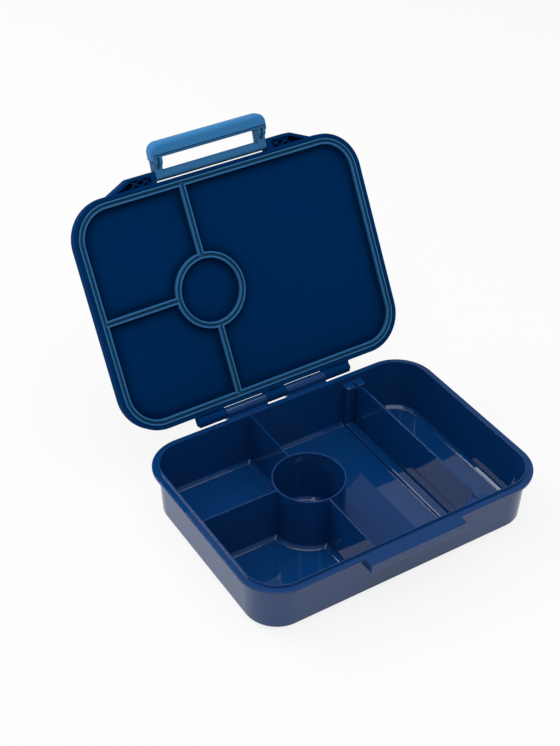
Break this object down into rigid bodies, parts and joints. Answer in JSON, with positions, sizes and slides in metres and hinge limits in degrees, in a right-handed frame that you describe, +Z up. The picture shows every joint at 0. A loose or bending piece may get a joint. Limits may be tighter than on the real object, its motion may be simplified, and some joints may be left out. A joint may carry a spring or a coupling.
{
  "type": "bento lunch box",
  "caption": "Moulded lunch box with compartments, a round cup and a loose divider, a hinged sealed lid and a swinging latch handle.",
  "frame": {"origin": "middle of the flat underside of the base", "axes": "+Z up, -Y towards the front with the catch ledge, +X to the right; the lid stands open at the back"},
  "size_m": [0.22, 0.2629, 0.2078],
  "materials": {
    "base_plastic": "glossy",
    "divider_plastic": "glossy, tinted",
    "pin_steel": "drawn",
    "lid_plastic": "satin",
    "liner_plastic": "matte",
    "seal_rubber": "soft matte",
    "frame_plastic": "satin",
    "grip_plastic": "satin"
  },
  "bodies": {
    "base": {"base_shell": "base_plastic", "hinge_pin": "pin_steel"},
    "lid": {"lid_cover": "lid_plastic", "lid_liner": "liner_plastic", "lid_seal": "seal_rubber", "latch_pins": "pin_steel"},
    "latch": {"latch_frame": "frame_plastic", "latch_grip": "grip_plastic"},
    "divider": {"divider": "divider_plastic"}
  },
  "joints": [
    {"name": "lid_hinge", "type": "hinge", "parent": "base", "child": "lid", "pos_m": [0, 0.0834, 0.042], "axis": [-1, 0, 0], "range_deg": [-119.8, 0]},
    {"name": "latch_swing", "type": "hinge", "parent": "lid", "child": "latch", "pos_m": [0, 0.1675, 0.18502], "axis": [-1, 0, 0], "range_deg": [-78, 0]},
    {"name": "divider_lift", "type": "slide", "parent": "base", "child": "divider", "axis": [0, 0, 1], "range_m": [0, 0.06]}
  ]
}
